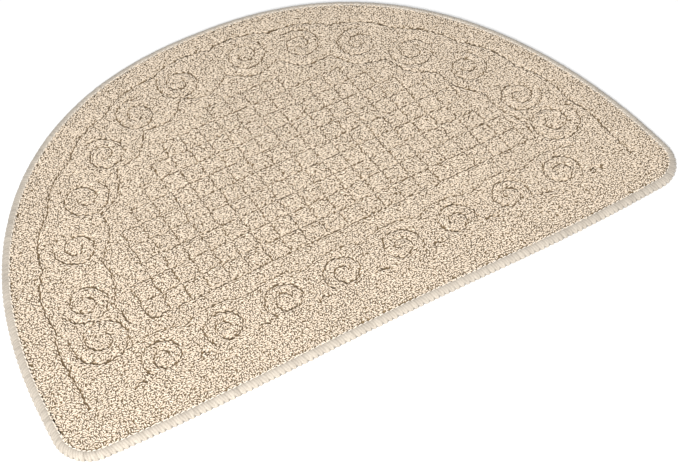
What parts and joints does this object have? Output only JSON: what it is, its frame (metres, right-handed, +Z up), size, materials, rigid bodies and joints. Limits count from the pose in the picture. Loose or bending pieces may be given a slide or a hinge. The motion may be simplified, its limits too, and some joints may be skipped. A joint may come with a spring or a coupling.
{
  "type": "half-round doormat",
  "caption": "Half-round doormat of short beige pile with a tonal trellis and scroll relief and an overlocked yarn edge, lying flat.",
  "frame": {"origin": "middle of the outline's bounding box, on the underside", "axes": "+X along the straight front edge, +Y from the straight edge towards the arc, +Z up through the pile"},
  "size_m": [0.76, 0.5072, 0.009],
  "materials": {
    "beige_pile": "matt, short curly pile",
    "edge_yarn": "matt, close overlock stitches"
  },
  "bodies": {
    "root": {"carpet_panel": "beige_pile", "overlock_edge": "edge_yarn"}
  },
  "joints": []
}
